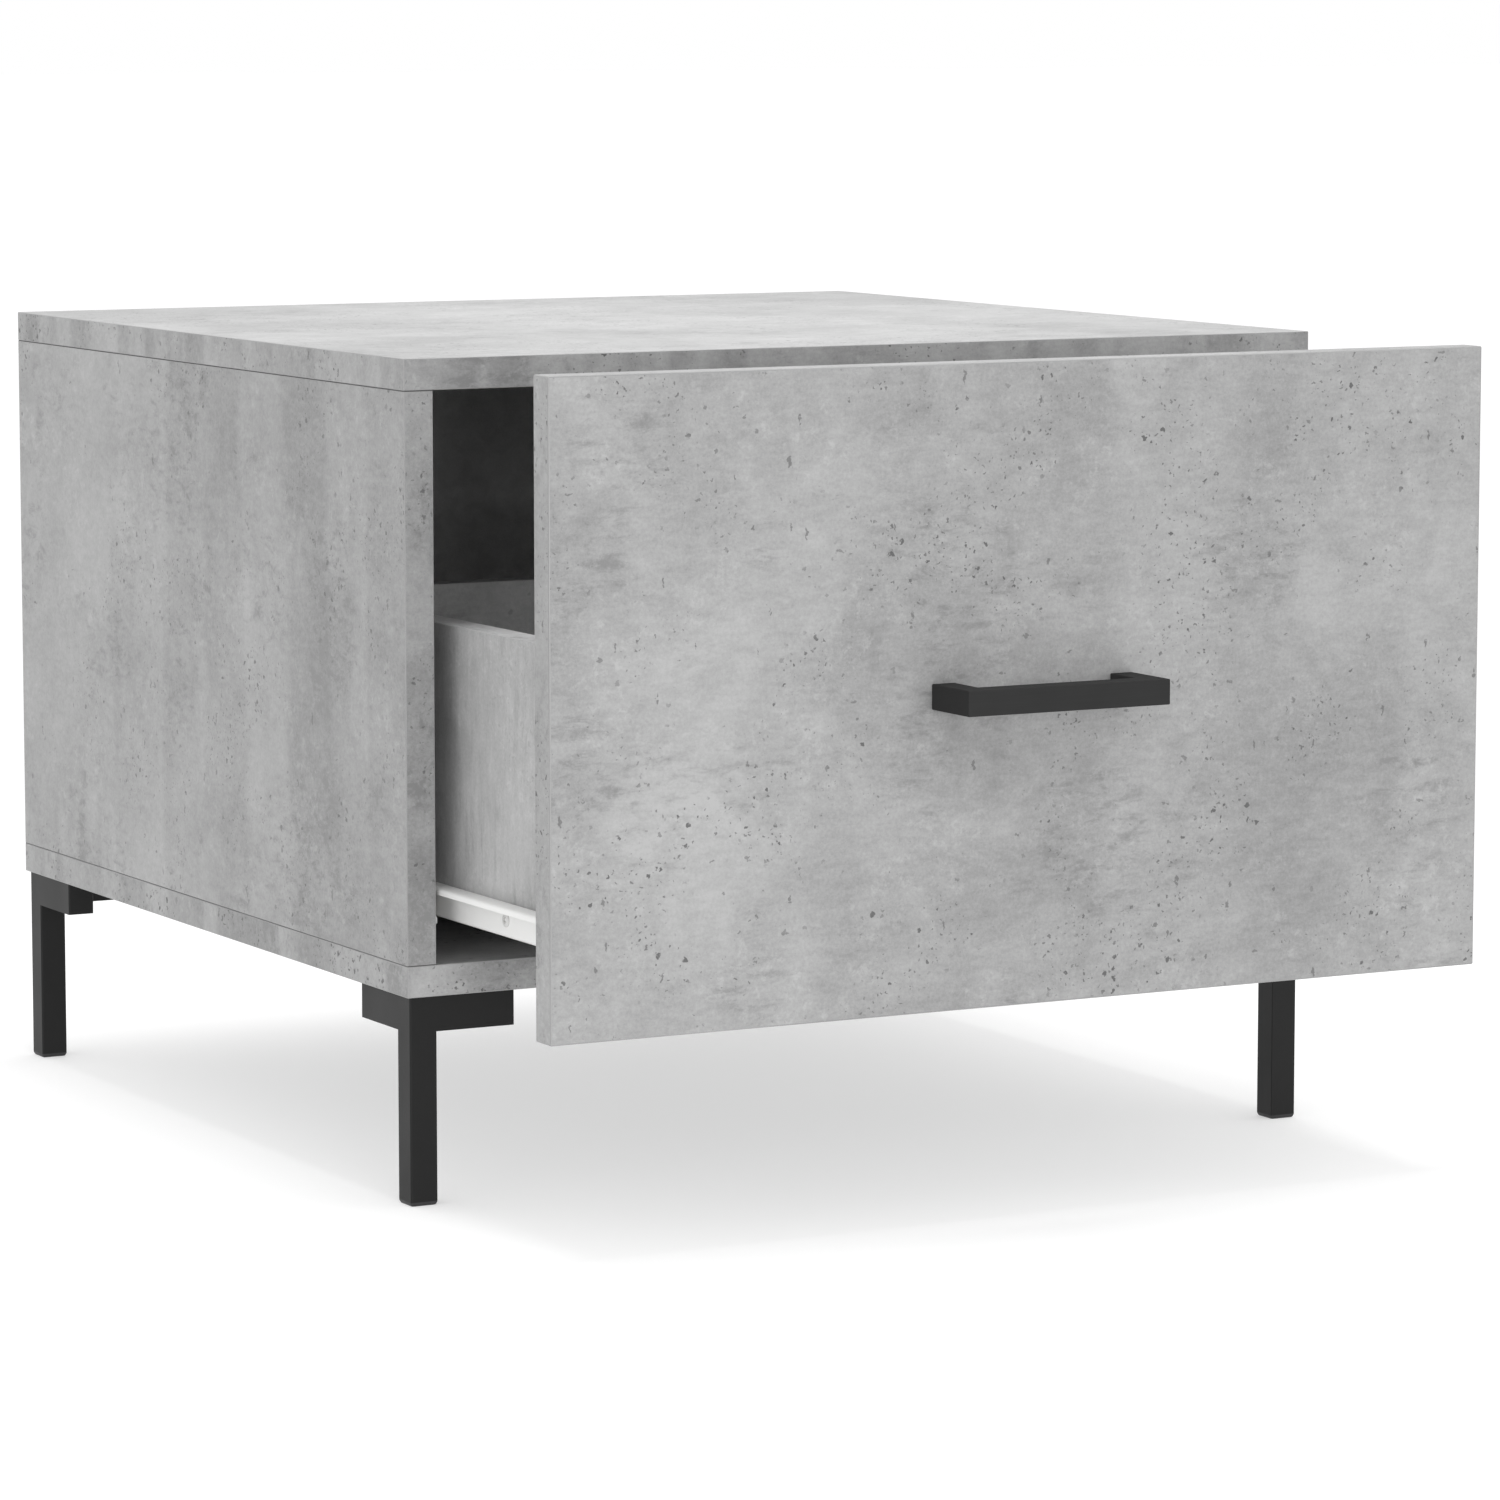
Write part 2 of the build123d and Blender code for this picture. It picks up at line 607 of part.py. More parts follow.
# Cam locks and bolts. A cam is a disc in the face of a board, with a pocket for the head of a bolt
# that comes in through the edge of the board.
cam_disc = cam_radius - cam_clearance
cam_thickness = cam_depth - cam_clearance
pocket_radius = bolt_head_radius + cam_clearance
pocket_depth = bolt_head + cam_clearance

with BuildPart() as carcass_cams:
    for side in SIDES:
        points = [(y, cam_z) for y in both_ends(cam_carcass_place)]
        rods(along(side * inner_x), points, cam_disc, side * cam_thickness)
        cross_recess(along(side * inner_x), points, cam_slot_length, cam_slot_width,
                     -side * cam_slot_depth)
    rods(Plane.XY.offset(cam_z - pocket_depth), top_joint_points, pocket_radius, cam_radius + pocket_depth,
         Mode.SUBTRACT)
save(carcass_cams.part, "carcass_cam_locks")

with BuildPart() as carcass_bolts:
    rods(Plane.XY.offset(cam_z), top_joint_points, bolt_radius, cam_reach + bolt_depth)
    rods(Plane.XY.offset(cam_z), top_joint_points, bolt_head_radius, -bolt_head)
    rods(Plane.XY.offset(top_under), top_joint_points, bolt_head_radius, -bolt_collar)
save(carcass_bolts.part, "carcass_cam_bolts")

with BuildPart() as drawer_cams:
    for side in SIDES:
        points = [(cam_y, z) for z in drawer_cam_heights]
        rods(along(side * drawer_inner_x), points, cam_disc, side * cam_thickness)
        cross_recess(along(side * drawer_inner_x), points, cam_slot_length, cam_slot_width,
                     -side * cam_slot_depth)
    rods(across(cam_y + pocket_depth), front_joint_points, pocket_radius, cam_radius + pocket_depth,
         Mode.SUBTRACT)
save(drawer_cams.part, "drawer_cam_locks")

with BuildPart() as drawer_bolts:
    rods(across(cam_y), front_joint_points, bolt_radius, cam_reach + bolt_depth)
    rods(across(cam_y), front_joint_points, bolt_head_radius, -bolt_head)
    rods(across(drawer_y), front_joint_points, bolt_head_radius, -bolt_collar)
save(drawer_bolts.part, "drawer_cam_bolts")


def dowels(plane, points, in_face, length):
    """Adds dowels that stand that deep in a board's face, on the plane's side, and run back from it."""
    with BuildSketch(plane.offset(in_face)) as outline:
        with Locations(*points):
            Circle(dowel_radius)
    extrude(outline.sketch, amount=-length)


with BuildPart() as carcass_dowels:
    dowels(Plane.XY.offset(top_under), top_dowel_points, dowel_depth, dowel_length)
    dowels(Plane.XY.offset(bottom_top), bottom_dowel_points, -dowel_depth, -dowel_length)
    chamfer(carcass_dowels.edges().filter_by(GeomType.CIRCLE), dowel_edge)
save(carcass_dowels.part, "carcass_dowels")

with BuildPart() as drawer_dowels:
    dowels(across(drawer_y), front_dowel_points, dowel_depth, dowel_length)
    for side in SIDES:
        dowels(along(side * drawer_inner_x), [(back_mid_y, drawer_dowel_z)], side * dowel_depth,
               side * dowel_length)
    chamfer(drawer_dowels.edges().filter_by(GeomType.CIRCLE), dowel_edge)
save(drawer_dowels.part, "drawer_dowels")

with BuildPart() as joint_screws:
    rods(Plane.XY.offset(leg_height), bottom_joint_points, joint_screw_radius, joint_screw_length)
    rods(Plane.XY.offset(leg_height), bottom_joint_points, joint_screw_neck_radius, board)
    rods(Plane.XY.offset(leg_height), bottom_joint_points, joint_screw_head_radius, joint_screw_head)
    cross_recess(Plane.XY.offset(leg_height), bottom_joint_points, recess_length, recess_width,
                 -recess_depth)
save(joint_screws.part, "carcass_joint_screws")

with BuildPart() as back_screws:
    for side in SIDES:
        points = [(back_mid_y, z) for z in drawer_cam_heights]
        rods(along(side * drawer_x), points, back_screw_radius, -side * back_screw_length)
        rods(along(side * drawer_x), points, back_screw_head_radius, -side * back_screw_head)
        cross_recess(along(side * drawer_x), points, recess_length, recess_width, side * recess_depth)
save(back_screws.part, "drawer_back_screws")
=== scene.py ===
import json
import math

import bmesh
import bpy
import numpy as np
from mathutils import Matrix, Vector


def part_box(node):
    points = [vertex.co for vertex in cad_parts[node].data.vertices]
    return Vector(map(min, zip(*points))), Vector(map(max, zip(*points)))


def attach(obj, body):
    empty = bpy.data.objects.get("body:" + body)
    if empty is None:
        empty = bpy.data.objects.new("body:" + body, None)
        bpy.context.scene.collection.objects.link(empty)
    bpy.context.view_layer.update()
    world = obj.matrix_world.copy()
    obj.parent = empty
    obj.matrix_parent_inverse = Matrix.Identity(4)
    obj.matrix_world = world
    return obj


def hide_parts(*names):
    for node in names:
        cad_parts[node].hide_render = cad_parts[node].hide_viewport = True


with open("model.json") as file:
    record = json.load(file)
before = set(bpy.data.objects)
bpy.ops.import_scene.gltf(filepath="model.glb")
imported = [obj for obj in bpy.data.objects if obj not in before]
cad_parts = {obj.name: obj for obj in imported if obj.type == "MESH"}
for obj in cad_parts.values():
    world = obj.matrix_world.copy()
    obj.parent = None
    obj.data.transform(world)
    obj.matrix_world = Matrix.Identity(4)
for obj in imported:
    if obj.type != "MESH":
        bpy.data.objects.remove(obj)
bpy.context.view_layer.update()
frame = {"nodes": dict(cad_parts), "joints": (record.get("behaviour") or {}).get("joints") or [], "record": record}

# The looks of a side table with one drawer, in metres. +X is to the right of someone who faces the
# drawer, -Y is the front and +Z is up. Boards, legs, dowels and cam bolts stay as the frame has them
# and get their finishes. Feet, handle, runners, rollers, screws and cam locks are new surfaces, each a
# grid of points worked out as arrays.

MM = 0.001

SIDES = {"left": -1, "right": 1}
ENDS = {"front": -1, "rear": 1}

# Legs, feet and handle
leg_width = 14 * MM
leg_wall = 1.5 * MM
leg_screw_places = (26 * MM, 45 * MM)  # along an arm, from the outer corner of the leg
pad_height = 2 * MM
handle_bar = 12 * MM

# Runners. A track's stop is a tab pressed up from it, at these distances from the side panel.
sheet = 1.1 * MM
runner_gap = 12.5 * MM  # between side panel and drawer
rail_side_gap = 2.0 * MM  # between side panel and drawer rail
cabinet_lip = 4.0 * MM
drawer_lip = 3.0 * MM
upper_flange_width = 9.0 * MM
rail_bend = 1.3 * MM
rail_bevel = 0.2 * MM
stop_from, stop_to = 2.4 * MM, 9.0 * MM
stop_height = 4.0 * MM
stop_bend = 1.0 * MM
stop_play = 0.3 * MM  # between a stop and the roller that meets it
rail_screw_places = {"cabinet": (37 * MM, 165 * MM, 293 * MM), "drawer": (84 * MM, 212 * MM, 308 * MM)}

# Foils
foil_shade = (0.31, 0.31, 0.31)
painted_lighter_foil = (0.37, 0.37, 0.37)  # the drawer's own boards: the same foil painted lighter, standing in for light they lack in the carcass's shade
# Width of the line of painted shade along a seam between boards.
seam_shade_width = 0.4 * MM


# Meshes

def arc(centre, radius, start, end, steps):
    """Points on a circle from angle start to angle end, in degrees: centre + radius (cos, sin)."""
    turn = np.radians(np.linspace(start, end, steps))
    return np.asarray(centre) + radius * np.stack([np.cos(turn), np.sin(turn)], 1)


def rounded_square(width, radius, steps=5):
    """A closed outline round the origin: four straight sides joined by quarter circles.

    Its first point is repeated at the end.
    """
    reach = width / 2 - radius
    corners = [(reach, reach), (-reach, reach), (-reach, -reach), (reach, -reach)]
    points = np.concatenate([arc(c, radius, 90 * k, 90 * k + 90, steps) for k, c in enumerate(corners)])
    return np.concatenate([points, points[:1]])


def folded(points, bend):
    """A line through points in a plane, with an arc of radius bend at each inner corner.

    The arc's centre lies bend / sin(half the corner's angle) away on the line that halves the corner,
    and its points are spread evenly from one touching point to the other.
    """
    points = np.asarray(points, float)
    line = [points[:1]]
    for before, corner, after in zip(points, points[1:], points[2:]):
        back = (before - corner) / np.linalg.norm(before - corner)
        on = (after - corner) / np.linalg.norm(after - corner)
        half = math.acos(float(np.clip(back @ on, -1, 1))) / 2
        middle = (back + on) / np.linalg.norm(back + on)
        centre = corner + middle * bend / math.sin(half)
        first = corner + back * bend / math.tan(half) - centre
        last = corner + on * bend / math.tan(half) - centre
        sweep = math.pi - 2 * half
        share = np.linspace(0, 1, 7)[:, None]
        spoke = np.sin((1 - share) * sweep) * first + np.sin(share * sweep) * last
        line.append(centre + spoke / math.sin(sweep))
    return np.concatenate([*line, points[-1:]])


def turned(profile, columns=32):
    """A profile of (radius, height) turned round the Z axis: (radius cos, radius sin, height)."""
    turn = np.linspace(0, 2 * np.pi, columns + 1)
    radius, height = np.asarray(profile, float).T
    return np.stack([radius[:, None] * np.cos(turn), radius[:, None] * np.sin(turn),
                     np.repeat(height[:, None], columns + 1, 1)], -1)


def placed(grid, origin, axis):
    """A grid made round the Z axis, moved to origin with its Z along axis: origin + x a + y b + z axis."""
    axis = np.asarray(axis, float)
    side = np.array([0.0, 0.0, 1.0]) if abs(axis[2]) < 0.5 else np.array([0.0, 1.0, 0.0])
    a = np.cross(side, axis)
    return np.asarray(origin, float) + grid @ np.stack([a, np.cross(axis, a), axis])


def smooth_step(low, high, value):
    """0 below low, 1 above high, and 3t^2 - 2t^3 of the share t between them."""
    t = np.clip((value - low) / (high - low), 0, 1)
    return t * t * (3 - 2 * t)


def driver_head(radius, crown, rim, length, width, depth):
    """The face of a screw, from its centre out: height is a crown, less a cross of that depth.

    Height is crown (1 - (r / radius)^2), rounded down over rim at the edge, and the cross lowers it by
    depth, fading out at half its length. Columns follow the walls of the cross, at the angles whose
    sine is half the width over r, so its arms stay straight.
    """
    wall = 0.12 * width
    inner = np.array([0.25, 0.5, 0.75, 1.0]) * width / math.sqrt(2)
    r = np.concatenate([[0], inner, np.linspace(0.8 * width, length / 2 - wall, 4),
                        [length / 2, length / 2 + wall],
                        np.linspace(length / 2 + 3 * wall, radius - rim, 3)])
    full = r < 0.72 * width
    half_in = np.arcsin(np.clip((width / 2 - wall) / np.maximum(r, 1e-9), 0, 0.62))
    half_out = np.arcsin(np.clip(width / 2 / np.maximum(r, 1e-9), 0, 0.69))
    between = (half_out + np.pi / 4) / 2
    quarter = np.stack([-np.pi / 4 + 0 * r, -between, -half_out, -half_in,
                        0 * r, half_in, half_out, between], 1)
    in_arm = np.array([0, 0, 0, 1, 1, 1, 0, 0])
    turn = np.concatenate([quarter + k * np.pi / 2 for k in range(4)] + [quarter[:, :1] + 2 * np.pi], 1)
    arm = np.tile(in_arm, 4)
    arm = np.append(arm, arm[0])
    fading = 1 - smooth_step(length / 2 - wall, length / 2, r)
    sunk = np.where(full[:, None], 1, arm[None]) * fading[:, None]
    height = crown * (1 - (r / radius) ** 2)[:, None] - depth * sunk
    face = np.stack([r[:, None] * np.cos(turn), r[:, None] * np.sin(turn), height], -1)
    lean = np.linspace(0, np.pi / 2, 4)[1:]
    edge_height = crown * (1 - ((radius - rim) / radius) ** 2)
    edge_r = radius - rim + rim * np.sin(lean)
    edge_z = edge_height - rim * (1 - np.cos(lean))
    out = turn[-1:]
    rounded = np.stack([edge_r[:, None] * np.cos(out), edge_r[:, None] * np.sin(out),
                        edge_z[:, None] + 0 * out], -1)
    foot = np.stack([radius * np.cos(out), radius * np.sin(out), 0 * out], -1)
    return np.concatenate([face, rounded, foot])


def threaded(head, core, ridge, start, end, neck, pitch):
    """A head carried on into its shank: radius is the core plus a ridge that climbs one pitch per turn.

    The ridge is a triangle wave of height / pitch less turn / 2 pi. It starts below the neck, and the last
    two pitches taper to a point.
    """
    turn = np.arctan2(head[-1, :, 1], head[-1, :, 0])[None]
    turn = np.unwrap(turn, axis=1)
    rows = max(6, int((start - end) / pitch * 4))
    z = np.linspace(start, end, rows)[:, None]
    wave = 1 - 2 * np.abs((z / pitch - turn / (2 * np.pi)) % 1 - 0.5)
    on_thread = smooth_step(0, pitch, neck - z)
    taper = np.clip((z - end) / (2 * pitch), 0, 1)
    r = (core + ridge * wave * on_thread) * taper ** 0.6
    shank = np.stack([r * np.cos(turn), r * np.sin(turn), z + 0 * turn], -1)
    return np.concatenate([head, shank])


def build(name, grids, finish, slot_name, body, stands_for, sharp=35, wall=None, bevel=None):
    """One finished piece from grids of points (rows, columns, 3): quads between neighbours, doubles merged.

    Merging closes seams and poles. Wall gives an open sheet its thickness, and bevel rounds its edges.
    """
    points, faces, start = [], [], 0
    for grid in grids:
        rows, columns = grid.shape[:2]
        number = start + np.arange(rows * columns).reshape(rows, columns)
        quads = [number[:-1, :-1], number[:-1, 1:], number[1:, 1:], number[1:, :-1]]
        faces.append(np.stack(quads, -1).reshape(-1, 4))
        points.append(grid.reshape(-1, 3))
        start += rows * columns
    mesh = bpy.data.meshes.new(name)
    mesh.from_pydata(np.concatenate(points), [], np.concatenate(faces))
    shell = bmesh.new()
    shell.from_mesh(mesh)
    bmesh.ops.remove_doubles(shell, verts=shell.verts, dist=1e-6)
    bmesh.ops.dissolve_degenerate(shell, edges=shell.edges, dist=1e-6)
    bmesh.ops.recalc_face_normals(shell, faces=shell.faces)
    shell.to_mesh(mesh)
    shell.free()
    mesh.shade_smooth()
    mesh.set_sharp_from_angle(angle=math.radians(sharp))
    mesh.materials.append(finish)
    made = bpy.data.objects.new(name, mesh)
    bpy.context.scene.collection.objects.link(made)
    if wall:
        thick = made.modifiers.new("wall", "SOLIDIFY")
        thick.thickness = wall
        thick.offset = 0
        thick.use_even_offset = True
    if bevel:
        edge = made.modifiers.new("edges", "BEVEL")
        edge.width = bevel
        edge.segments = 3
        edge.limit_method = "ANGLE"
        edge.angle_limit = math.radians(sharp)
        edge.harden_normals = True
    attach(made, body)
    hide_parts(*stands_for)
    return made


# Finishes

class Finish:
    """A material in the making. Each call adds a node and gives back the socket that it puts out."""

    def __init__(self, name):
        self.material = bpy.data.materials.new(name)
        self.material.use_nodes = True
        self.tree = self.material.node_tree
        self.shader = self.tree.nodes["Principled BSDF"]
        self.place = self.add("ShaderNodeTexCoord").outputs["Object"]

    def add(self, kind, inputs=None, **settings):
        """A node with its settings, its inputs set to a number or joined to another node's socket."""
        node = self.tree.nodes.new(kind)
        for key, value in settings.items():
            setattr(node, key, value)
        for key, value in (inputs or {}).items():
            self.join(value, node.inputs[key])
        return node

    def join(self, value, socket):
        """Sets a socket to a value, or links another node's output to it."""
        if isinstance(value, bpy.types.NodeSocket):
            self.tree.links.new(value, socket)
        else:
            socket.default_value = value

    def moved(self, place, shift=(0, 0, 0), scale=(1, 1, 1), turn=(0, 0, 0)):
        """A place scaled, turned and shifted: a small scale draws the pattern out along that axis."""
        return self.add("ShaderNodeMapping", {"Vector": place, "Location": shift, "Scale": scale,
                                              "Rotation": turn}).outputs[0]

    def noise(self, place, size, detail=3.0, rough=0.5, warp=0.0):
        """Soft noise from 0 to 1 whose features are about size across."""
        return self.add("ShaderNodeTexNoise", {"Vector": place, "Scale": 1 / size, "Detail": detail,
                                               "Roughness": rough, "Distortion": warp}).outputs[0]

    def sum(self, *terms):
        """The sum of factor times value over the terms (value, factor)."""
        total = 0.0
        for value, factor in terms:
            total = self.add("ShaderNodeMath", {0: value, 1: factor, 2: total},
                             operation="MULTIPLY_ADD").outputs[0]
        return total

    def times(self, first, second):
        """The product of two values."""
        return self.add("ShaderNodeMath", {0: first, 1: second}, operation="MULTIPLY").outputs[0]

    def ramp(self, value, low, high, to_low=0.0, to_high=1.0):
        """A smooth step of value from low to high, given out between to_low and to_high."""
        return self.add("ShaderNodeMapRange", {0: value, 1: low, 2: high, 3: to_low, 4: to_high},
                        interpolation_type="SMOOTHSTEP").outputs[0]

    def mix(self, share, first, second):
        """Colour first where share is 0, second where it is 1."""
        node = self.add("ShaderNodeMix", data_type="RGBA")
        self.join(share, node.inputs[0])
        self.join((*first, 1) if isinstance(first, tuple) else first, node.inputs[6])
        self.join((*second, 1) if isinstance(second, tuple) else second, node.inputs[7])
        return node.outputs[2]

    def mix_value(self, share, first, second):
        """First where share is 0, second where it is 1."""
        return self.add("ShaderNodeMix", {0: share, 2: first, 3: second}, data_type="FLOAT").outputs[0]

    def spots(self, place, spacing, radius, share):
        """Round spots scattered at that spacing, of any size up to radius, in that share of the cells."""
        cells = self.add("ShaderNodeTexVoronoi", {"Vector": place, "Scale": 1 / spacing, "Randomness": 1.0})
        chance = self.add("ShaderNodeSeparateColor", {0: cells.outputs["Color"]})
        reach = self.add("ShaderNodeMapRange", {0: chance.outputs[0], 1: 1 - share, 2: 1, 3: 0,
                                                4: radius / spacing}).outputs[0]
        depth = self.add("ShaderNodeMath", {0: reach, 1: cells.outputs["Distance"]}, operation="SUBTRACT")
        return self.ramp(depth.outputs[0], 0, 0.25 * radius / spacing)

    def bump(self, height, depth):
        """A surface normal that follows height, depth metres from 0 to 1."""
        return self.add("ShaderNodeBump", {"Height": height, "Distance": depth, "Strength": 1.0}).outputs[0]

    def done(self, **sockets):
        """Joins the shader's named sockets, underscores standing for spaces, and gives the material."""
        for key, value in sockets.items():
            self.join(value, self.shader.inputs[key.replace("_", " ")])
        return self.material


def tinted(shade, factor):
    """A shade made darker or lighter by that factor."""
    return tuple(min(1, factor * c) for c in shade)


def concrete_foil(name, shift, shade=foil_shade, level=(0.35, 1, 1), bands=(1, 1, 0.1), banding=0.18,
                  band_size=80 * MM, pitted=1.0, shaded_seams=(), hop=(0.31, 0.31, 0.31)):
    """Printed concrete: bands, clouds and trowel smudges over a fine mottle, with pores, pits and scratches.

    Level stretches the smudges along the board. Pores and pits crowd together in places. Each face of a
    board takes its pattern from another place, a hop away, so that nothing runs on round an edge. Shaded
    seams are heights where the board meets another; along each the foil gets a line of painted shade for the
    crevice between the boards.
    """
    foil = Finish(name)
    facing = foil.add("ShaderNodeTexCoord").outputs["Normal"]
    jump = foil.add("ShaderNodeVectorMath", {0: facing, 1: hop}, operation="MULTIPLY").outputs[0]
    spot = foil.add("ShaderNodeVectorMath", {0: foil.moved(foil.place, shift), 1: jump},
                    operation="ADD").outputs[0]
    wavy = foil.add("ShaderNodeTexNoise", {"Vector": spot, "Scale": 450.0, "Detail": 2.0}).outputs[1]
    wander = foil.add("ShaderNodeVectorMath", {0: wavy, 1: (-0.5, -0.5, -0.5)}, operation="ADD").outputs[0]
    wander = foil.add("ShaderNodeVectorMath", {0: wander, "Scale": 4 * MM}, operation="SCALE").outputs[0]
    ragged = foil.add("ShaderNodeVectorMath", {0: spot, 1: wander}, operation="ADD").outputs[0]
    drawn = foil.moved(spot, scale=level)

    cast = foil.ramp(foil.noise(foil.moved(spot, scale=bands), band_size, 2.0, 0.4), 0.42, 0.56)
    level_face = foil.add("ShaderNodeSeparateXYZ", {0: facing}).outputs[2]
    level_face = foil.times(level_face, level_face)
    cast = foil.mix_value(level_face, cast, 0.5)
    clouds = foil.noise(spot, 130 * MM, 3.0, 0.5, 0.4)
    patches = foil.noise(spot, 36 * MM, 7.0, 0.66, 0.5)
    worked = foil.ramp(foil.noise(spot, 85 * MM, 3.0, 0.6), 0.47, 0.62)
    smudges = foil.ramp(foil.noise(drawn, 6.5 * MM, 5.0, 0.72, 0.4), 0.47, 0.68)
    smudges = foil.times(smudges, foil.ramp(worked, 0, 1, 0.1, 1))
    chalk = foil.ramp(foil.noise(spot, 6 * MM, 5.0, 0.75, 0.3), 0.52, 0.66)
    chalk = foil.times(chalk, foil.ramp(foil.noise(spot, 50 * MM, 3.0, 0.6), 0.42, 0.6))
    mottle = foil.noise(drawn, 4.5 * MM, 3.0, 0.7)
    speckle = foil.noise(spot, 1.7 * MM, 2.0, 0.6)
    grain = foil.noise(spot, 0.8 * MM, 1.0)
    parts = ((cast, banding), (clouds, 1.0), (patches, 1.0), (mottle, 0.65),
             (speckle, 0.55), (grain, 0.3), (chalk, 0.28), (smudges, -0.4))
    middle = 0.5 * sum(share for part, share in parts[:6])
    tone = foil.add("ShaderNodeMapRange", {0: foil.sum(*parts), 1: middle - 0.5, 2: middle + 0.5})

    crowd = foil.ramp(foil.noise(spot, 60 * MM, 4.0, 0.65), 0.46, 0.6)
    pores = foil.times(foil.spots(ragged, 2.4 * MM, 0.8 * MM, 0.9), foil.ramp(crowd, 0, 1, 0, 0.75))
    pits = foil.times(foil.spots(ragged, 5.0 * MM, 1.3 * MM, 0.9), foil.ramp(crowd, 0, 1, 0.1, 1))
    holes = foil.times(foil.spots(ragged, 12 * MM, 1.6 * MM, 0.9), foil.ramp(crowd, 0, 1, 0.4, 1))
    steep = foil.moved(ragged, scale=(1, 1, 0.28), turn=(0.25, 0.25, 0))
    steep_scratches = foil.spots(steep, 6.5 * MM, 1.0 * MM, 0.6)
    flat = foil.moved(ragged, scale=level, turn=(0.15, 0.15, 0))
    flat_scratches = foil.spots(flat, 7 * MM, 0.9 * MM, 0.6)
    sunk = pores
    for marks in (pits, holes, foil.times(steep_scratches, 0.7), foil.times(flat_scratches, 0.6)):
        sunk = foil.add("ShaderNodeMath", {0: sunk, 1: marks}, operation="MAXIMUM").outputs[0]

    colour = foil.mix(tone.outputs[0], tinted(shade, 0.68), tinted(shade, 1.3))
    colour = foil.mix(foil.times(sunk, 0.85 * pitted), colour, tinted(shade, 0.22))
    above_floor = foil.add("ShaderNodeSeparateXYZ", {0: foil.place}).outputs[2]
    # Painted shade: a dark line along each seam, darkening the foil in the crevice where two boards meet.
    for seam in shaded_seams:
        line = foil.add("ShaderNodeMath", {0: above_floor, 1: seam, 2: seam_shade_width}, operation="COMPARE")
        colour = foil.mix(foil.times(line.outputs[0], 0.95), colour, tinted(shade, 0.2))
    rough = foil.sum((patches, 0.16), (grain, 0.12), (1.0, 0.36))
    height = foil.sum((grain, 0.15), (sunk, -1.0), (smudges, -0.1))
    return foil.done(Base_Color=colour, Roughness=rough, Normal=foil.bump(height, 0.12 * MM))


def powder_coat(name, shade):
    """Black powder coat: a fine orange peel, a slightly uneven gloss and a breath of grey in its tone."""
    coat = Finish(name)
    peel = coat.noise(coat.place, 0.9 * MM, 2.0, 0.5)
    speck = coat.noise(coat.place, 0.25 * MM, 1.0)
    drift = coat.noise(coat.place, 30 * MM, 3.0)
    colour = coat.mix(coat.sum((peel, 0.4), (drift, 0.6)), tinted(shade, 0.75), tinted(shade, 1.3))
    height = coat.sum((peel, 1.0), (speck, 0.3))
    return coat.done(Base_Color=colour, Roughness=coat.sum((drift, 0.14), (speck, 0.1), (1.0, 0.34)),
                     Specular_IOR_Level=0.29, Normal=coat.bump(height, 0.03 * MM))


def handle_coat(name, shade):
    """Satin black lacquer on the handle: finer than the legs, with faint draw lines along the bar."""
    coat = Finish(name)
    lines = coat.noise(coat.moved(coat.place, scale=(0.02, 1, 1)), 0.7 * MM, 3.0)
    peel = coat.noise(coat.place, 0.5 * MM, 2.0)
    drift = coat.noise(coat.place, 25 * MM, 2.0)
    colour = coat.mix(coat.sum((lines, 0.4), (drift, 0.6)), tinted(shade, 0.8), tinted(shade, 1.25))
    height = coat.sum((lines, 0.5), (peel, 0.5))
    return coat.done(Base_Color=colour, Roughness=coat.sum((lines, 0.12), (drift, 0.1), (1.0, 0.5)),
                     Specular_IOR_Level=0.03, Normal=coat.bump(height, 0.012 * MM))


def epoxy_coat(name, shade):
    """White baked epoxy on folded steel: glossy, slightly wavy, with fine dust in it."""
    coat = Finish(name)
    wave = coat.noise(coat.place, 2.5 * MM, 2.0)
    dust = coat.spots(coat.place, 4 * MM, 0.16 * MM, 0.3)
    drift = coat.noise(coat.place, 40 * MM, 3.0)
    colour = coat.mix(drift, tinted(shade, 0.93), shade)
    colour = coat.mix(coat.times(dust, 0.35), colour, (0.3, 0.3, 0.29))
    return coat.done(Base_Color=colour, Roughness=coat.sum((drift, 0.12), (wave, 0.08), (1.0, 0.22)),
                     Normal=coat.bump(coat.sum((wave, 1.0), (dust, 0.4)), 0.02 * MM))


def moulded_nylon(name, shade):
    """Milky nylon: a little light passes into it, and the mould has left faint flow marks."""
    nylon = Finish(name)
    flow = nylon.noise(nylon.place, 3 * MM, 3.0, 0.5, 1.5)
    skin = nylon.noise(nylon.place, 0.4 * MM, 2.0)
    colour = nylon.mix(flow, tinted(shade, 0.9), shade)
    return nylon.done(Base_Color=colour, Roughness=nylon.sum((flow, 0.15), (skin, 0.1), (1.0, 0.28)),
                      Subsurface_Weight=0.15, Subsurface_Radius=(2 * MM, 2 * MM, 1.6 * MM),
                      Subsurface_Scale=1.0, Normal=nylon.bump(skin, 0.01 * MM))


def moulded_plastic(name, shade):
    """Black plastic with a spark-eroded grain."""
    plastic = Finish(name)
    erosion = plastic.noise(plastic.place, 0.35 * MM, 3.0, 0.6)
    drift = plastic.noise(plastic.place, 6 * MM, 2.0)
    colour = plastic.mix(drift, tinted(shade, 0.8), tinted(shade, 1.25))
    return plastic.done(Base_Color=colour, Roughness=plastic.sum((erosion, 0.2), (1.0, 0.42)),
                        Normal=plastic.bump(erosion, 0.03 * MM))


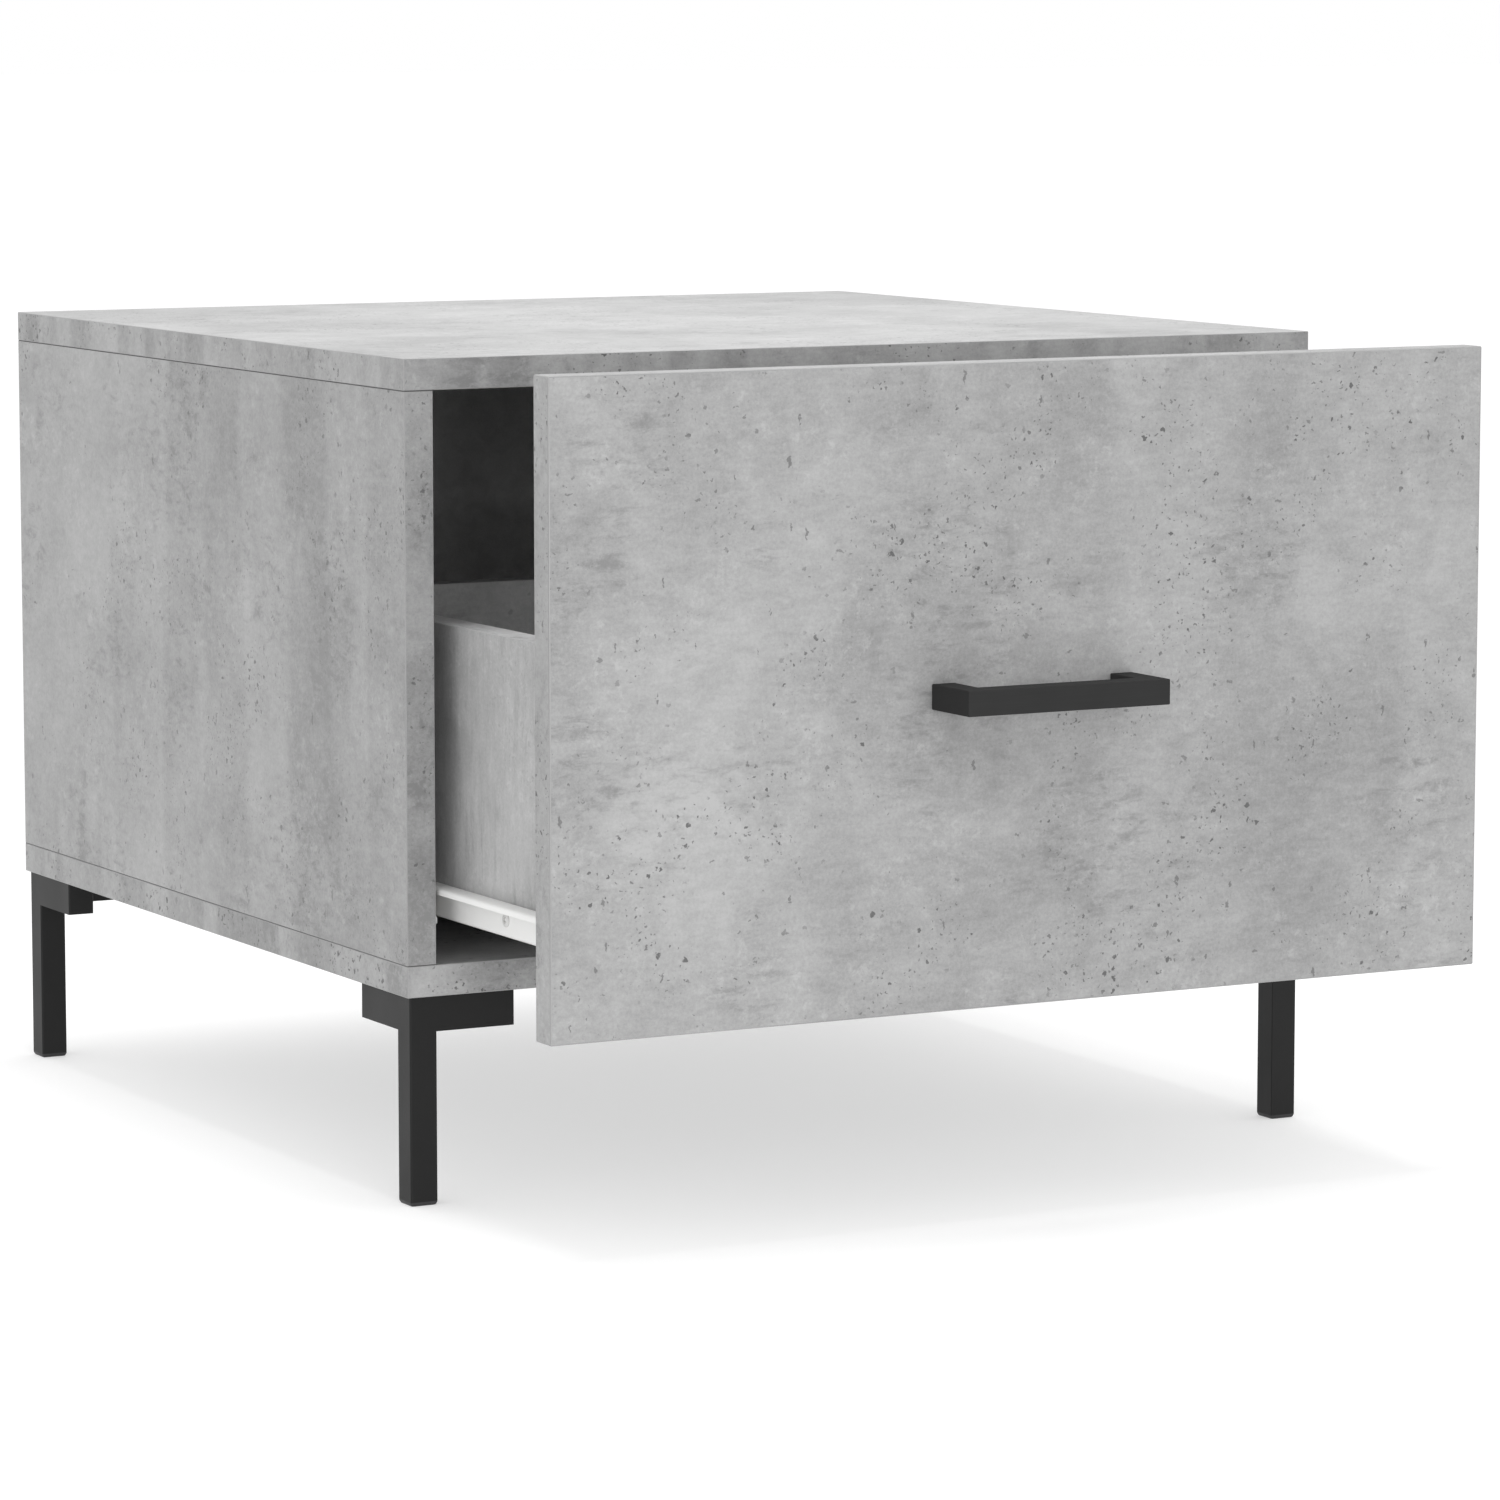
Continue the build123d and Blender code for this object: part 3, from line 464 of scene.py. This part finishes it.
def zinc_plate(name, shade):
    """Bright zinc on steel: bluish, with small blooms of duller plate and fine rub marks."""
    zinc = Finish(name)
    bloom = zinc.noise(zinc.place, 4 * MM, 4.0, 0.6, 1.0)
    rubbed = zinc.noise(zinc.moved(zinc.place, scale=(1, 1, 0.2)), 0.3 * MM, 3.0)
    colour = zinc.mix(bloom, tinted(shade, 0.8), (shade[0], shade[1], min(1, 1.05 * shade[2])))
    return zinc.done(Base_Color=colour, Roughness=zinc.sum((bloom, 0.25), (rubbed, 0.15), (1.0, 0.14)),
                     Metallic=1.0, Normal=zinc.bump(rubbed, 0.008 * MM))


def dull_plate(name, shade):
    """Tumbled zinc on small screws: pale, soft in its gloss, darker where the plate is thin."""
    plate = Finish(name)
    worn = plate.noise(plate.place, 1.2 * MM, 3.0, 0.6)
    grit = plate.noise(plate.place, 0.2 * MM, 2.0)
    colour = plate.mix(worn, tinted(shade, 0.85), shade)
    return plate.done(Base_Color=colour, Roughness=plate.sum((worn, 0.15), (grit, 0.1), (1.0, 0.4)),
                      Metallic=0.6, Normal=plate.bump(grit, 0.006 * MM))


def pressed_hardboard(name, shade):
    """Thin hardboard with a grey print: pressed fibres lie every way under a matt coat."""
    board = Finish(name)
    fibre = board.noise(board.place, 1.4 * MM, 6.0, 0.75, 2.5)
    felt = board.noise(board.place, 12 * MM, 4.0, 0.6, 0.8)
    cloud = board.noise(board.place, 120 * MM, 3.0)
    tone = board.ramp(board.sum((fibre, 0.7), (felt, 0.5), (cloud, 0.7)), 0.65, 1.3)
    colour = board.mix(tone, tinted(shade, 0.75), tinted(shade, 1.15))
    return board.done(Base_Color=colour, Roughness=board.sum((fibre, 0.2), (1.0, 0.55)),
                      Normal=board.bump(fibre, 0.06 * MM))


def beech_wood(name, shade):
    """Beech for the dowels: rings round the long axis, short dark flecks and open grain."""
    wood = Finish(name)
    rings = wood.noise(wood.moved(wood.place, scale=(1, 1, 0.1)), 1.6 * MM, 4.0, 0.6, 0.8)
    fleck = wood.spots(wood.moved(wood.place, scale=(1, 1, 0.3)), 1.5 * MM, 0.25 * MM, 0.5)
    colour = wood.mix(rings, tinted(shade, 0.7), tinted(shade, 1.15))
    colour = wood.mix(wood.times(fleck, 0.5), colour, tinted(shade, 0.4))
    return wood.done(Base_Color=colour, Roughness=wood.sum((rings, 0.2), (1.0, 0.5)),
                     Normal=wood.bump(rings, 0.04 * MM))


# Boards keep the frame's shape. Each has its own stretch of the foil.
seam_heights = [height.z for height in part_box("left_side_panel")]
banded = dict(banding=0.3, band_size=26 * MM)
outer_side = dict(level=(1, 0.5, 1), banding=0.25, band_size=55 * MM, pitted=0.75, shaded_seams=seam_heights)
# The drawer's sides and back take the foil painted lighter: painted light for the shade they stand in inside the
# carcass.
drawer_side = dict(shade=painted_lighter_foil, level=(1, 1, 0.2), band_size=30 * MM, pitted=0.2)
board_foils = {
    "top_panel": dict(shift=(8.6, 3.4, 7.9), **banded),
    "bottom_panel": dict(shift=(4.1, 1.7, 0.6), hop=(0.31, 0.5, 0.31), **banded),
    "left_side_panel": dict(shift=(2.4, 3.2, 8.0), **outer_side),
    "right_side_panel": dict(shift=(9.2, 5.1, 3.4), **outer_side),
    "drawer_front": dict(shift=(8.4, 3.7, 9.5)),
    "drawer_left_side": dict(shift=(5.5, 6.1, 2.9), **drawer_side),
    "drawer_right_side": dict(shift=(3.2, 4.4, 7.3), **drawer_side),
    # The drawer back's foil is painted lighter, for the shade it sits in.
    "drawer_back": dict(shift=(8.8, 3.5, 5.2), shade=painted_lighter_foil, pitted=0.8)}

finishes = {
    "grey_hardboard": pressed_hardboard("grey_hardboard", (0.62, 0.62, 0.62)),
    "black_powder_coat": powder_coat("black_powder_coat", (0.004, 0.004, 0.004)),
    "black_handle_coat": handle_coat("black_handle_coat", (0.031, 0.031, 0.031)),
    "white_epoxy": epoxy_coat("white_epoxy", (0.8, 0.8, 0.79)),
    "white_nylon": moulded_nylon("white_nylon", (0.78, 0.77, 0.73)),
    "black_plastic": moulded_plastic("black_plastic", (0.018, 0.018, 0.019)),
    "zinc_steel": zinc_plate("zinc_steel", (0.62, 0.64, 0.67)),
    "beech": beech_wood("beech", (0.52, 0.34, 0.2))}
pale_plate = dull_plate("pale_plate", (0.7, 0.7, 0.69))
slot_of = {row["node"]: row["material_slot"] for row in frame["record"]["subparts"]}
bodies = frame["record"]["behaviour"]["bodies"]
body_of = {node: body for body, members in bodies.items() for node in members}

for node, shown in frame["nodes"].items():
    shown.data.materials.clear()
    if node in board_foils:
        shown.data.materials.append(concrete_foil(f"concrete_foil_{node}", **board_foils[node]))
    else:
        shown.data.materials.append(finishes[slot_of[node]])


def centre_of(node):
    """The middle of a node's box."""
    low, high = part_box(node)
    return np.array((low + high) / 2)


def facing_x(node, side):
    """The X of the face of a node's box that looks to the right (side 1) or to the left (side -1)."""
    low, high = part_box(node)
    return high.x if side > 0 else low.x


def make(node, grids, finish=None, **options):
    """A piece that stands for one node, on its body and in the finish of its slot or another one."""
    slot_name = slot_of[node]
    finish = finish or finishes[slot_name]
    return build(f"{node}_skin", grids, finish, slot_name, body_of[node], [node], **options)


# Feet: a rounded pad under a plug that goes up into the tube

def glide(middle, top):
    """Rounded squares stacked from pole to pole: each row is (width, height) of the foot there."""
    plug_width = leg_width - 3.2 * MM
    pad = [(0, 0), (leg_width - 2.4 * MM, 0), (leg_width - 1.2 * MM, 0.25 * MM),
           (leg_width - 0.5 * MM, 0.9 * MM), (leg_width, 1.5 * MM), (leg_width, pad_height)]
    plug = [(plug_width, pad_height), (plug_width, top - 0.6 * MM), (plug_width - 1.0 * MM, top), (0, top)]
    outline = rounded_square(1.0, 0.07)
    return np.stack([np.column_stack([middle[:2] + outline * width, np.full(len(outline), z)])
                     for width, z in pad + plug])


for end_name in ENDS:
    for side_name in SIDES:
        node = f"{end_name}_{side_name}_glide"
        make(node, [glide(centre_of(node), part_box(node)[1].z)])


# Handle: a square bar, mitred at both corners into its posts

def bar_on_posts(low, high, size):
    """A square section carried along post, bar and post, with a flat cap at each end.

    At a mitre it lies on the plane that halves the corner.
    """
    x0, x1, front, back = low.x + size / 2, high.x - size / 2, low.y + size / 2, high.y
    place = np.array([(x0, back), (x0, front), (x1, front), (x1, back)])
    across = np.array([(1, 0), (1, 1), (-1, 1), (-1, 0)], float)
    half = size / 2
    section = np.array([(-half, -half), (half, -half), (half, half), (-half, half), (-half, -half)])
    z = (low.z + high.z) / 2
    flat = place[:, None] + section[None, :, :1] * across[:, None]
    rows = np.concatenate([flat, np.broadcast_to(z + section[None, :, 1:], (4, 5, 1))], -1)
    caps = [np.broadcast_to(rows[k][:4].mean(0), (1, 5, 3)) for k in (0, 3)]
    return np.concatenate([caps[0], rows, caps[1]])


low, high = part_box("drawer_handle")
make("drawer_handle", [bar_on_posts(low, high, handle_bar)], bevel=0.6 * MM)


# Runners: folded steel sheet

def drawn_out(side, panel_x, line, front, back):
    """A line of (reach from the side panel towards the drawer, height), drawn out from front to back."""
    x = panel_x - side * line[:, 0]
    rows = [np.column_stack([x, np.full(len(x), y), line[:, 1]]) for y in (front, back)]
    return np.stack(rows)


def stop_tab(side, panel_x, track, y):
    """A tab pressed up from the track: the strip between its folded outline and the track under it."""
    raised = track + stop_height
    corners = [(stop_from, track), (stop_from, raised), (stop_to, raised), (stop_to, track)]
    outline = folded(corners, stop_bend)
    rows = [np.column_stack([panel_x - side * outline[:, 0], np.full(len(outline), y), height])
            for height in (outline[:, 1], np.full(len(outline), track))]
    return np.stack(rows)


def cabinet_rail(side_name, side):
    """Lip, track, web and upper flange, with a stop in front of the roller at each end of its travel."""
    node = f"{side_name}_cabinet_rail"
    low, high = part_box(node)
    panel_x = facing_x(node, side)
    far = high.x - low.x - sheet / 2
    near = sheet / 2
    track = low.z + cabinet_lip - sheet / 2
    flange = high.z - cabinet_lip + sheet / 2
    edge = upper_flange_width - sheet / 2
    path = [(far, low.z), (far, track), (near, track), (near, flange), (edge, flange), (edge, high.z)]
    grids = [drawn_out(side, panel_x, folded(path, rail_bend), low.y, high.y)]
    roller_low, roller_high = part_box(f"{side_name}_rear_roller")
    reach = (roller_high.z - roller_low.z) / 2 + stop_play + sheet / 2
    middle_y = (roller_low.y + roller_high.y) / 2
    for y in (middle_y - travel[0] + reach, middle_y - travel[1] - reach):
        grids.append(stop_tab(side, panel_x, track, y))
    make(node, grids, wall=sheet, bevel=rail_bevel)


def drawer_rail(side_name, side):
    """Foot under the drawer side, web, upper flange over the front roller, and a lip turned down."""
    node = f"{side_name}_drawer_rail"
    low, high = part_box(node)
    panel_x = facing_x(f"{side_name}_cabinet_rail", side)
    web = runner_gap - sheet / 2
    foot = rail_side_gap + high.x - low.x
    bottom, top = low.z + sheet / 2, high.z - sheet / 2
    lip_x = rail_side_gap + sheet / 2
    path = [(foot, bottom), (web, bottom), (web, top), (lip_x, top), (lip_x, high.z - drawer_lip)]
    grids = [drawn_out(side, panel_x, folded(path, rail_bend), low.y, high.y)]
    make(node, grids, wall=sheet, bevel=rail_bevel)


travel = next(joint for joint in frame["joints"] if joint["name"] == "drawer_slide")["range_m"]
for side_name, side in SIDES.items():
    cabinet_rail(side_name, side)
    drawer_rail(side_name, side)


# Rollers and their rivets

def roller_rings(radius, width, bore):
    """A dished wheel with six pockets a side, its profile turned round the axle.

    Between hub and web each face is sunk, and the pockets lower it further where cos(6 turn) is high.
    """
    rim, hub = 0.55 * MM, 3.4 * MM
    web = radius - 1.6 * MM
    r = np.array([bore, bore, bore + 0.25 * MM, hub - 0.3 * MM, hub, hub + 0.4 * MM, (hub + web) / 2,
                  web - 0.3 * MM, web, web + 0.3 * MM, radius - rim])
    lean = np.linspace(0, np.pi / 2, 4)[1:]
    sunk = np.where((r > hub + 0.2 * MM) & (r < web), 1.0, 0.0)
    z = np.full(len(r), width / 2)
    z[0] = 0
    z[1] = width / 2 - 0.25 * MM
    z = z - 0.5 * MM * sunk
    r = np.concatenate([r, radius - rim + rim * np.sin(lean), [radius]])
    z = np.concatenate([z, width / 2 - rim + rim * np.cos(lean), [0]])
    half = turned(np.column_stack([r, z]), 48)
    turn = np.linspace(0, 2 * np.pi, 49)
    ring = smooth_step(hub, hub + 0.5 * MM, r) * (1 - smooth_step(web - 0.5 * MM, web, r))
    half[..., 2] -= 0.7 * MM * ring[:, None] * smooth_step(-0.2, 0.4, np.cos(6 * turn))[None]
    other = half.copy()
    other[..., 2] *= -1
    return np.concatenate([half, other[::-1][1:]])


def rivet(shoulder, seat):
    """A line of (radius, height) turned round the axle: stem, spacer up to shoulder, stem, spread head."""
    stem, spacer, root = 1.95 * MM, 3.0 * MM, 0.15 * MM
    shank = [(0, root), (stem, root), (stem, sheet), (spacer, sheet), (spacer, shoulder), (stem, shoulder),
             (stem, seat)]
    spread = [(2.9, 0), (3.1, 0.15), (3.0, 0.45), (2.5, 0.75), (1.6, 0.93), (1.45, 0.8), (0, 0.75)]
    return turned(shank + [(radius * MM, seat + rise * MM) for radius, rise in spread])


roller_bore = 2.05 * MM
rivet_play = 0.1 * MM  # beside a roller, at its shoulder and its head
for side_name, side in SIDES.items():
    for end_name in ENDS:
        node = f"{side_name}_{end_name}_roller"
        low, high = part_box(node)
        rings = roller_rings((high.z - low.z) / 2, high.x - low.x, roller_bore)
        make(node, [placed(rings, centre_of(node), (1, 0, 0))])

# A front axle is riveted into the cabinet rail at the side panel, a rear one into the drawer's rail.
for end_name in ENDS:
    grids = []
    for side_name, side in SIDES.items():
        roller = f"{side_name}_{end_name}_roller"
        if end_name == "front":
            towards = -side
            root_x = facing_x(f"{side_name}_side_panel", -side)
        else:
            towards = side
            root_x = facing_x(f"drawer_{side_name}_side", side)
        middle = centre_of(roller)
        shoulder = abs(facing_x(roller, -towards) - root_x) - rivet_play
        seat = abs(facing_x(roller, towards) - root_x) + rivet_play
        grids.append(placed(rivet(shoulder, seat), (root_x, middle[1], middle[2]), (towards, 0, 0)))
    make(f"{end_name}_roller_axles", grids)


# Screws. Each is a head with a driver's cross, its shank and its thread.

def screw(radius, crown, rim, cross, skirt, core, length, neck):
    """A screw with its seat at height 0: a head with a skirt above it, and a shank down to -length.

    Cross is the length, width and depth of the driver's cross. The thread starts below the neck.
    """
    head = driver_head(radius, crown, rim, *cross)
    head[..., 2] += skirt
    head[-1, :, 2] = 0
    return threaded(head, core, 0.22 * core, -0.02 * MM, -length, -neck, 1.6 * MM)


cross = (3.6 * MM, 0.9 * MM, 1.0 * MM)
deep_cross = (4.2 * MM, 1.1 * MM, 1.6 * MM)
broad_cross = (3.4 * MM, 1.5 * MM, 1.8 * MM)
pan_head = dict(crown=0.9 * MM, rim=0.4 * MM, cross=cross, skirt=1.45 * MM, core=1.62 * MM)
flat_head = dict(crown=0.0, rim=0.3 * MM, skirt=0.0)
flat_head_drop = 0.15 * MM  # under the board's face

leg_screw = screw(radius=3.75 * MM, length=10.2 * MM, neck=1 * MM, **pan_head)
grids = []
for end_name, end in ENDS.items():
    for side_name, side in SIDES.items():
        node = f"{end_name}_{side_name}_leg"
        low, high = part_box(node)
        outer_x = facing_x(node, side)
        outer_y = high.y if end > 0 else low.y
        for along in leg_screw_places:
            for x, y in ((outer_x - side * along, outer_y - end * leg_width / 2),
                         (outer_x - side * leg_width / 2, outer_y - end * along)):
                grids.append(placed(leg_screw, (x, y, high.z - leg_wall), (0, 0, -1)))
make("leg_screws", grids)

rail_screw = screw(radius=3.35 * MM, crown=0.35 * MM, rim=0.2 * MM, cross=broad_cross, skirt=0.42 * MM,
                   core=1.38 * MM, length=11.5 * MM, neck=0.5 * MM)
for rail, places in rail_screw_places.items():
    grids = []
    for side_name, side in SIDES.items():
        if rail == "cabinet":
            out = -side
            seat_x = facing_x(f"{side_name}_side_panel", -side) + out * sheet
        else:
            out = side
            seat_x = facing_x(f"drawer_{side_name}_side", side) + out * sheet
        front_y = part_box(f"{side_name}_{rail}_rail")[0].y
        roller_z = centre_of(f"{side_name}_front_roller")[2]
        for along in places:
            grids.append(placed(rail_screw, (seat_x, front_y + along, roller_z), (out, 0, 0)))
    make(f"{rail}_rail_screws", grids, finish=pale_plate)

handle_screw = screw(radius=3.95 * MM, length=23.5 * MM, neck=12 * MM, **pan_head)
seat_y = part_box("drawer_front")[1].y
low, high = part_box("drawer_handle")
make("handle_screws", [placed(handle_screw, (x, seat_y, (low.z + high.z) / 2), (0, 1, 0))
                       for x in (low.x + handle_bar / 2, high.x - handle_bar / 2)])

joint_screw = screw(radius=4.95 * MM, cross=deep_cross, core=2.05 * MM, length=50 * MM, neck=15 * MM,
                    **flat_head)
joint_screw[..., 2] -= flat_head_drop
joint_head = 5 * MM  # radius of the head's seat, and so from the box's sides to the screw's axis
low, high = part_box("carcass_joint_screws")
grids = [placed(joint_screw, (x, y, low.z), (0, 0, -1))
         for x in (low.x + joint_head, high.x - joint_head)
         for y in (low.y + joint_head, high.y - joint_head)]
make("carcass_joint_screws", grids, sharp=50)

back_screw = screw(radius=3.75 * MM, cross=cross, core=1.65 * MM, length=40 * MM, neck=6 * MM, **flat_head)
back_screw[..., 2] -= flat_head_drop
back_head = 3.8 * MM
low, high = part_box("drawer_back_screws")
middle_y = (low.y + high.y) / 2
grids = [placed(back_screw, (facing_x("drawer_back_screws", side), middle_y, z), (side, 0, 0))
         for side in SIDES.values() for z in (low.z + back_head, high.z - back_head)]
make("drawer_back_screws", grids, sharp=50)


# Cam locks: discs flush with the board, with a driver's cross

def cam(radius, thickness):
    """A disc whose face has a cross, then a straight side and a flat back: rows from pole to pole."""
    face = driver_head(radius, crown=0.0, rim=0.35 * MM, length=7 * MM, width=1.5 * MM, depth=2.0 * MM)
    face[-1, :, 2] = -thickness
    back = face[-1:].copy()
    back[..., :2] = 0
    return np.concatenate([face, back])


cam_radius = 7.4 * MM
disc = cam(cam_radius, 12.4 * MM)
for node, board_name in (("carcass_cam_locks", "{}_side_panel"), ("drawer_cam_locks", "drawer_{}_side")):
    low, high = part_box(node)
    if node == "carcass_cam_locks":
        places = [(y, (low.z + high.z) / 2) for y in (low.y + cam_radius, high.y - cam_radius)]
    else:
        places = [((low.y + high.y) / 2, z) for z in (low.z + cam_radius, high.z - cam_radius)]
    grids = [placed(disc, (facing_x(board_name.format(side_name), -side), y, z), (-side, 0, 0))
             for side_name, side in SIDES.items() for y, z in places]
    make(node, grids, sharp=50)


# Floor, light and camera

def floor_sheet(reach):
    """A flat square on the floor plane, of a pale sheet that glows a little."""
    mesh = bpy.data.meshes.new("floor")
    corners = reach * np.array([(-1, -1, 0), (1, -1, 0), (1, 1, 0), (-1, 1, 0)], float)
    mesh.from_pydata(corners, [], [(0, 1, 2, 3)])
    paint = Finish("pale_floor")
    tone = paint.mix(paint.noise(paint.place, 0.4, 2.0), (0.57, 0.57, 0.57), (0.59, 0.59, 0.59))
    lit = paint.mix(paint.noise(paint.place, 0.9, 1.0), (0.98, 0.98, 0.98), (1, 1, 1))
    mesh.materials.append(paint.done(Base_Color=tone, Roughness=0.9, Emission_Color=lit,
                                     Emission_Strength=0.45))
    made = bpy.data.objects.new("floor", mesh)
    bpy.context.scene.collection.objects.link(made)
    return made


def soft_box(name, place, aim, size, power, spread=180):
    """A square area light that faces aim, its beam kept within spread degrees."""
    light = bpy.data.lights.new(name, "AREA")
    light.size = size
    light.energy = power
    light.spread = math.radians(spread)
    made = bpy.data.objects.new(name, light)
    direction = np.array(aim) - np.array(place)
    flat = math.hypot(direction[0], direction[1])
    made.location = place
    made.rotation_euler = (math.atan2(flat, -direction[2]), 0, math.atan2(-direction[0], direction[1]))
    bpy.context.scene.collection.objects.link(made)
    return made


floor_sheet(40.0)
soft_box("front_light", place=(-1.0, -3.4, 0.5), aim=(0, -0.2, 0.25), size=1.0, power=25.5)
soft_box("top_light", place=(0, -0.1, 1.6), aim=(0, -0.05, 0), size=0.7, power=3.2, spread=75)

world = bpy.data.worlds.new("studio")
bpy.context.scene.world = world
world.use_nodes = True
world.node_tree.nodes["Background"].inputs["Color"].default_value = (1, 1, 1, 1)
world.node_tree.nodes["Background"].inputs["Strength"].default_value = 1.0
bpy.context.scene.view_settings.view_transform = "Standard"

camera_place = (-1.4517, -2.8172, 0.5657)
camera_turn = 0.4931  # to the right of straight back
camera_tilt = 0.1221  # down from level
camera_lens = 147.07
camera = bpy.data.cameras.new("camera")
camera.lens = camera_lens
camera.sensor_width = 36.0
camera.clip_end = 200.0
camera_object = bpy.data.objects.new("camera", camera)
camera_object.location = camera_place
camera_object.rotation_euler = (math.pi / 2 - camera_tilt, 0, -camera_turn)
bpy.context.scene.collection.objects.link(camera_object)
bpy.context.scene.camera = camera_object
